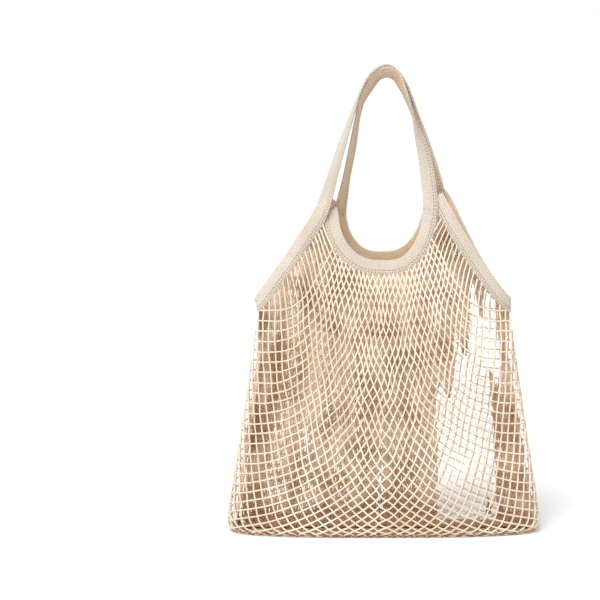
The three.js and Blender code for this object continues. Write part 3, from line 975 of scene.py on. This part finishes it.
def measure_tubes(mesh: bpy.types.Mesh, lines: Iterable[Sequence[Vector]], sides: int) -> None:
    """Puts the real length along each tube into the mesh's UV map, as its U.

    Args:
        mesh: A mesh of tubes, whose last vertices are the tubes' rings in order.
        lines: The middle line of each tube.
        sides: How many sides a tube has.
    """
    tube_runs = np.concatenate([np.repeat(running_length(line), sides) for line in lines])
    vertex_runs = np.zeros(len(mesh.vertices))
    vertex_runs[len(mesh.vertices) - len(tube_runs):] = tube_runs
    corners = np.zeros(len(mesh.loops), dtype=np.int32)
    mesh.loops.foreach_get("vertex_index", corners)
    layer = mesh.uv_layers[0]
    uv = np.zeros(len(mesh.loops) * 2, dtype=np.float32)
    layer.uv.foreach_get("vector", uv)
    uv[0::2] = vertex_runs[corners]
    layer.uv.foreach_set("vector", uv)


@dataclass(frozen=True)
class StrapRow:
    """One station of a handle strap.

    up is its share of the leg's rise to the crown, across its share of the leg
    spacing, deep its share of the leg spread, towards the back, and roll the degrees
    by which the strap's outer face turns to the front.
    """

    up: float
    across: float
    deep: float
    roll: float


@dataclass
class Station:
    """A place on a tape's middle line, with the way that its outer face looks."""

    at: Vector
    out: Vector


OUTER_STRAP = (
    StrapRow(0.0, -1.05, -0.72, 62),
    StrapRow(0.22, -0.886, -0.62, 37),
    StrapRow(0.45, -0.719, -0.5, 27),
    StrapRow(0.67, -0.537, -0.42, 8),
    StrapRow(0.79, -0.44, -0.34, 1),
    StrapRow(0.9, -0.308, -0.22, -2),
    StrapRow(0.97, -0.16, -0.08, 0),
    StrapRow(1.0, 0.02, 0.0, 0),
    StrapRow(0.97, 0.185, 0.08, 0),
    StrapRow(0.9, 0.318, 0.16, -4),
    StrapRow(0.79, 0.435, 0.24, -10),
    StrapRow(0.67, 0.535, 0.34, -14),
    StrapRow(0.45, 0.738, 0.52, -18),
    StrapRow(0.22, 0.9, 0.7, -36),
    StrapRow(0.12, 0.955, 0.8, -54),
)
INNER_STRAP = (
    StrapRow(0.0, 0.775, -0.74, 80),
    StrapRow(0.22, 0.725, -0.68, 76),
    StrapRow(0.38, 0.668, -0.6, 62),
    StrapRow(0.53, 0.575, -0.46, 34),
    StrapRow(0.67, 0.482, -0.34, 6),
    StrapRow(0.79, 0.392, -0.24, -8),
    StrapRow(0.9, 0.285, -0.16, -20),
    StrapRow(0.975, 0.185, -0.13, -33),
    StrapRow(1.0, 0.03, -0.1, -40),
    StrapRow(0.975, -0.125, -0.02, -41),
    StrapRow(0.9, -0.25, 0.1, -37),
    StrapRow(0.79, -0.385, 0.22, -22),
    StrapRow(0.67, -0.452, 0.32, -16),
    StrapRow(0.45, -0.535, 0.52, -28),
    StrapRow(0.22, -0.638, 0.74, -29),
    StrapRow(0.0, -0.73, 0.86, -52),
)


@dataclass
class TapeMaker:
    """Places the stations of the tapes beside the net's edges and on the handles."""

    shape: BagShape
    width: float = 0.0175
    thickness: float = 0.002
    seam_gap: float = 0.0003
    tuck_gap: float = 0.0005
    tuck_run: float = 0.018
    tuck_shares: tuple[float, ...] = (1.0, 1.0, 0.5)
    crown_height: float = 0.5565
    crown_nest: float = 0.0077
    leg_spacing: float = 0.070
    leg_spread: float = 0.020
    neck_stops: int = 16
    side_stops: int = 22
    neck_reach: float = 0.97
    look: float = 0.01
    below_neck: float = 0.001

    def _bound(
        self, edge: Callable[[float], tuple[float, float]], ways: Iterable[float],
        net_side: Callable[[Vector], Vector],
    ) -> list[Station]:
        """Places a tape beside the net's edge, on the side away from the net.

        Args:
            edge: Gives the edge's angle and height at a way along it.
            ways: The way along of each station.
            net_side: Gives a direction that leads into the net from a point of the edge.

        Returns:
            A station for each way.
        """
        stations = []
        for way in ways:
            before, point, after = (self.shape.surface(*edge(way + d)) for d in (-self.look, 0.0, self.look))
            along = (after - before).normalized()
            normal = self.shape.normal(*edge(way))
            away = along.cross(normal).normalized()
            if away.dot(net_side(point)) > 0:
                away.negate()
            out = away.cross(along).normalized()
            if out.dot(normal) < 0:
                out.negate()
            at = point + away * (self.seam_gap + self.width / 2) - out * (self.thickness / 2)
            stations.append(Station(at, out))
        return stations

    def neck(self, side: Side) -> list[Station]:
        """Stations along the neck, from the left peak to the right one."""
        def edge(turn: float) -> tuple[float, float]:
            share, height = self.shape.neck_edge(side, turn)
            return self.shape.angle_of_share(share, side, height), height

        bottom = self.shape.surface(*edge(0.0)) + Vector((0.0, 0.0, self.below_neck))
        ways = [self.neck_reach * (2 * k / self.neck_stops - 1) for k in range(self.neck_stops + 1)]
        return self._bound(edge, ways, lambda point: Vector((point.x - bottom.x, 0.0, point.z - bottom.z)))

    def side(self, hand: Hand) -> list[Station]:
        """Stations round one side of the bag, from its front peak to its back peak."""
        half = self.shape.shoulder_half
        start = math.asin(abs(self.shape.peak(Side.FRONT, hand).x) / half)
        end = math.pi - math.asin(abs(self.shape.peak(Side.BACK, hand).x) / half)

        def edge(way: float) -> tuple[float, float]:
            angle = start + (end - start) * clamp(way)
            side = Side.FRONT if angle < math.pi / 2 else Side.BACK
            height = self.shape.side_edge_height(hand, side, math.sin(angle))
            return hand.value * angle, height

        ways = [k / self.side_stops for k in range(self.side_stops + 1)]
        return self._bound(edge, ways, lambda point: Vector((0.0, 0.0, -1.0)))

    def handle(self, rows: Sequence[StrapRow], peaks: tuple[Peak, Peak], nest: float) -> list[Station]:
        """Stations of a handle strap.

        Args:
            rows: The strap's table.
            peaks: The peaks of the net that its two legs rise from.
            nest: How far below the crown it passes.

        Returns:
            A station for each row.
        """
        crown = next(k for k, row in enumerate(rows) if row.up == 1.0)
        feet = [peaks[0 if k < crown else 1] for k in range(len(rows))]
        points = []
        for row, peak in zip(rows, feet):
            foot = peak.height + peak.strap
            rise = row.up * (self.crown_height - nest - foot)
            points.append(Vector((row.across * self.leg_spacing, row.deep * self.leg_spread, foot + rise)))
        stations = []
        for k, (row, peak) in enumerate(zip(rows, feet)):
            before, after = points[max(k - 1, 0)], points[min(k + 1, len(points) - 1)]
            along = (after - before).normalized()
            outward = Vector((-along.z, 0.0, along.x)).normalized()
            if outward.dot(Vector((points[k].x, 0.0, points[k].z - peak.height - peak.strap))) < 0:
                outward.negate()
            turn = math.radians(row.roll)
            stations.append(Station(points[k], outward * math.cos(turn) + Vector((0, -math.sin(turn), 0))))
        return stations

    def tucked(self, stations: list[Station], at_end: bool) -> list[Station]:
        """Runs a tape on past its end and sinks it there, to slide under another."""
        order = list(reversed(stations)) if at_end else list(stations)
        along = (order[0].at - order[1].at).normalized()
        order.insert(0, Station(order[0].at + along * self.tuck_run, order[0].out.copy()))
        depth = self.thickness + self.tuck_gap
        for k, share in enumerate(self.tuck_shares):
            order[k] = Station(order[k].at - order[k].out * depth * share, order[k].out)
        return list(reversed(order)) if at_end else order

    def side_tape(self) -> list[list[Station]]:
        """The tape of the two sides and the strap that passes on top at the crown."""
        peaks = (self.shape.peak(Side.FRONT, Hand.LEFT), self.shape.peak(Side.BACK, Hand.RIGHT))
        return [
            self.tucked(list(reversed(self.side(Hand.LEFT))), False),
            self.handle(OUTER_STRAP, peaks, 0.0),
            self.tucked(list(reversed(self.side(Hand.RIGHT))), True),
        ]

    def neck_tape(self) -> list[list[Station]]:
        """The tape of the two necks and the strap that passes below at the crown."""
        peaks = (self.shape.peak(Side.FRONT, Hand.RIGHT), self.shape.peak(Side.BACK, Hand.LEFT))
        return [
            self.tucked(self.neck(Side.FRONT), False),
            self.handle(INNER_STRAP, peaks, self.crown_nest),
            self.tucked(self.neck(Side.BACK), True),
        ]


def centripetal(points: Sequence[Vector], place: float) -> Vector:
    """A point of a centripetal curve through points, by fractional index."""
    last = len(points) - 1
    k = clamp(int(place), 0, last - 1)
    t = place - k
    p1, p2 = points[k], points[k + 1]
    p0 = points[k - 1] if k > 0 else p1 * 2 - p2
    p3 = points[k + 2] if k + 2 <= last else p2 * 2 - p1
    d0, d1, d2 = (max((b - a).length, TINY) ** 0.5 for a, b in ((p0, p1), (p1, p2), (p2, p3)))
    m1 = ((p1 - p0) / d0 - (p2 - p0) / (d0 + d1) + (p2 - p1) / d1) * d1
    m2 = ((p2 - p1) / d1 - (p3 - p1) / (d1 + d2) + (p3 - p2) / d2) * d1
    return hermite(p1, m1, p2, m2, t)


@dataclass(frozen=True)
class StitchPoint:
    """A point of a stitch: along in its lengths from its middle, lift in its radii."""

    along: float
    lift: float


STITCH = (StitchPoint(-0.5, -0.4), StitchPoint(-0.3, 0.5), StitchPoint(0.3, 0.5), StitchPoint(0.5, -0.4))


@dataclass
class LongTape:
    """One long twill tape: its band and its rows of stitching."""

    name: str
    parts: list[list[Station]]
    nodes: tuple[str, ...]
    size: TapeSize
    finish: bpy.types.Material
    thread: bpy.types.Material
    spacing: float = 0.0035
    dense_stops: int = 24
    corner_stops: int = 3
    weld: float = 1e-6
    look: float = 0.02
    stitch_pitch: float = 0.0038
    stitch_length: float = 0.0023
    stitch_radius: float = 0.00036
    stitch_sides: int = 4

    def __post_init__(self) -> None:
        """Joins the parts' stations and measures the run."""
        self.stations = [station for part in self.parts for station in part]
        self.points = [station.at for station in self.stations]
        last = len(self.points) - 1
        self.places = np.linspace(0.0, last, last * self.dense_stops + 1)
        self.run = running_length([centripetal(self.points, float(place)) for place in self.places])
        self.length = float(self.run[-1])
        second_edge = sum(len(part) for part in self.parts[:-1])
        self.switch = float(np.interp(second_edge, self.places, self.run))

    def net_side(self, run: float) -> int:
        """The side across on which the tape's stitched edge lies, as a sign."""
        return 1 if run < self.switch else -1

    def axes(self, run: float) -> tuple[Vector, Vector, Vector]:
        """Middle, across and face directions of the tape at a length along it."""
        place = float(np.interp(run, self.run, self.places))
        last = len(self.points) - 1
        k = min(int(place), last - 1)
        out = self.stations[k].out.lerp(self.stations[k + 1].out, place - k)
        low, high = max(place - self.look, 0.0), min(place + self.look, float(last))
        along = (centripetal(self.points, high) - centripetal(self.points, low)).normalized()
        across = along.cross(out).normalized()
        return centripetal(self.points, place), across, across.cross(along).normalized()

    def profile(self) -> list[tuple[float, float]]:
        """The tape's rounded section, as places across and out from its middle."""
        r = self.size.edge_round
        half, thick = self.size.width / 2 - r, self.size.thickness / 2 - r
        ring = []
        for corner, (x, y) in enumerate(((half, thick), (-half, thick), (-half, -thick), (half, -thick))):
            for stop in range(self.corner_stops):
                a = (corner + stop / (self.corner_stops - 1)) * math.pi / 2
                ring.append((x + r * math.cos(a), y + r * math.sin(a)))
        return ring

    def band(self) -> bpy.types.Object:
        """Sweeps the tape's section along its run."""
        ring = self.profile()
        steps, stops = int(self.length / self.spacing), len(ring)
        runs = [self.length * k / steps for k in range(steps + 1)]
        frames = [self.axes(run) for run in runs]
        bm = bmesh.new()
        along_layer, across_layer, inner_layer = (
            bm.verts.layers.float.new(name) for name in ("along", "across", "inner")
        )
        for vert in bmesh.ops.create_grid(bm, x_segments=steps, y_segments=stops, size=0.5)["verts"]:
            k, corner = round((vert.co.x + 0.5) * steps), round((vert.co.y + 0.5) * stops)
            x, y = ring[corner % stops]
            middle, across, face = frames[k]
            vert.co = middle + across * x + face * y
            vert[along_layer], vert[across_layer] = runs[k], x
            vert[inner_layer] = self.size.inner_shift if y < 0 else 0.0
        bmesh.ops.remove_doubles(bm, verts=bm.verts, dist=self.weld)
        bmesh.ops.edgeloop_fill(bm, edges=[edge for edge in bm.edges if edge.is_boundary])
        bmesh.ops.recalc_face_normals(bm, faces=bm.faces)
        uv = bm.loops.layers.uv.new("UVMap")
        for quad in bm.faces:
            quad.smooth = True
            side = self.net_side(sum(vert[along_layer] for vert in quad.verts) / len(quad.verts))
            for loop in quad.loops:
                across = loop.vert[across_layer] * side + loop.vert[inner_layer]
                loop[uv].uv = (loop.vert[along_layer], across)
        return placed_mesh(self.name, bm)

    def stitch(self, centre: float, row: float, face_side: int) -> Line:
        """The middle line of one stitch."""
        line = []
        for point in STITCH:
            run = clamp(centre + point.along * self.stitch_length, high=self.length)
            middle, across, face = self.axes(run)
            aside = self.net_side(centre) * (self.size.width / 2 - row)
            out = self.size.thickness / 2 + point.lift * self.stitch_radius
            line.append(middle + across * aside + face * face_side * out)
        return line

    def stitches(self) -> bpy.types.Object:
        """Lays the rows of stitches along the tape's net edge, on both faces."""
        centres = [(k + 0.5) * self.stitch_pitch for k in range(int(self.length / self.stitch_pitch))]
        lines = [self.stitch(c, row, face) for c in centres for row in self.size.seams for face in (1, -1)]
        return tube_piece(f"{self.name}_stitches", lines, self.stitch_radius, self.stitch_sides)

    def build(self) -> list[bpy.types.Object]:
        """Makes the band and its stitches, and lays them over their CAD nodes."""
        band = dressed(self.band(), self.finish, "tape", *self.nodes)
        return [band, dressed(self.stitches(), self.thread, "tape")]


@dataclass(frozen=True)
class Lamp:
    """A soft even light from one side, like a large panel far away.

    place is a point on the line from the bag to the lamp, spread the angle that it
    seems to fill, in degrees, and strength its light in watts a square metre.
    """

    name: str
    place: Triple
    spread: float
    strength: float

    def build(self) -> None:
        """Hangs the lamp."""
        data = bpy.data.lights.new(self.name, "SUN")
        data.angle, data.energy = math.radians(self.spread), self.strength
        lamp = placed(self.name, data)
        lamp.location = self.place
        aim(lamp, -Vector(self.place))


@dataclass
class Studio:
    """The floor, the soft lights and the camera of the photograph.

    aim_right and aim_up are the pixels by which the camera looks past the bag's line.
    """

    distance: float = 1.65
    camera_height: float = 0.36
    camera_yaw: float = 4.0
    lens: float = 82.5
    picture_pixels: float = 600.0
    aim_right: float = -84.0
    aim_up: float = -69.0
    white: Colour = (1.0, 1.0, 1.0, 1.0)
    seen_light: float = 1.0
    room_light: float = 0.46
    floor_half: float = 40.0
    lamps: tuple[Lamp, ...] = (
        Lamp("key", (-0.7, -1.3, 1.7), 30.0, 2.5),
        Lamp("top", (0.2, -0.1, 2.0), 70.0, 0.7),
    )

    def camera(self) -> None:
        """Places the camera so that the picture is the photograph's."""
        yaw = math.radians(self.camera_yaw)
        forward = Vector((math.sin(yaw), math.cos(yaw), 0.0))
        right = Vector((math.cos(yaw), -math.sin(yaw), 0.0))
        data = bpy.data.cameras.new("camera")
        data.lens = self.lens
        pixels = self.picture_pixels * self.lens / data.sensor_width
        look = forward + right * (self.aim_right / pixels) + Vector((0, 0, self.aim_up / pixels))
        holder = placed("camera", data)
        holder.location = -forward * self.distance + Vector((0, 0, self.camera_height))
        aim(holder, look)
        bpy.context.scene.camera = holder

    def floor(self) -> None:
        """A plain pale floor."""
        bm = bmesh.new()
        bmesh.ops.create_grid(bm, x_segments=1, y_segments=1, size=self.floor_half)
        ground = placed_mesh("floor", bm)
        ground.data.materials.append(StudioFloor().build())

    def room(self) -> None:
        """An even light all round, behind which the camera sees white."""
        world = bpy.data.worlds.new("studio")
        bpy.context.scene.world = world
        world.use_nodes = True
        tree = world.node_tree
        either = tree.nodes.new("ShaderNodeMixShader")
        path = tree.nodes.new("ShaderNodeLightPath")
        tree.links.new(path.outputs["Is Camera Ray"], either.inputs[0])
        for socket, strength in ((1, self.room_light), (2, self.seen_light)):
            glow = tree.nodes.new("ShaderNodeBackground")
            glow.inputs["Color"].default_value = self.white
            glow.inputs["Strength"].default_value = strength
            tree.links.new(glow.outputs[0], either.inputs[socket])
        tree.links.new(either.outputs[0], tree.nodes["World Output"].inputs[0])

    def build(self) -> None:
        """Makes the whole studio."""
        self.camera()
        self.floor()
        for lamp in self.lamps:
            lamp.build()
        self.room()
        bpy.context.scene.view_settings.view_transform = "Standard"


def main() -> None:
    """Builds the studio and the bag, piece by piece."""
    logging.basicConfig(level=logging.INFO, format="%(message)s")
    Studio().build()
    shape, size = BagShape(), TapeSize()
    strand = CottonString("cotton_string", (0.96, 0.87, 0.74, 1.0), (0.66, 0.49, 0.33, 1.0)).build()
    # Painted shade: the slack's finish is a darker, browner copy of the cotton string that stands in for the
    # shade inside the bag. Its large dark patches are painted shadow, and it has painted shade at the foot.
    # The base strands wear it too.
    slack = CottonString(
        "shaded_slack_cotton", (0.94, 0.76, 0.57, 1.0), (0.45, 0.25, 0.12, 1.0),
        patches=Mottle(24.0, 2.0, 0.38, 0.66), patch_shade=0.66, painted_foot_shade=1.0,
    ).build()
    twill, thread = TwillTape(size).build(), SeamThread().build()
    maker = TapeMaker(shape)
    side_nodes = ("left_side_tape", "outer_handle", "right_side_tape")
    neck_nodes = ("front_neck_tape", "inner_handle", "back_neck_tape")
    net = StrandNet(shape, strand, slack)
    pieces = net.build() + SlackNet(net, slack).build()
    pieces += LongTape("side_tape", maker.side_tape(), side_nodes, size, twill, thread).build()
    pieces += LongTape("neck_tape", maker.neck_tape(), neck_nodes, size, twill, thread).build()
    for piece in pieces:
        triangles = sum(len(face.vertices) - 2 for face in piece.data.polygons)
        LOG.info("%s: %d triangles", piece.name, triangles)


if __name__ == "__main__":
    main()
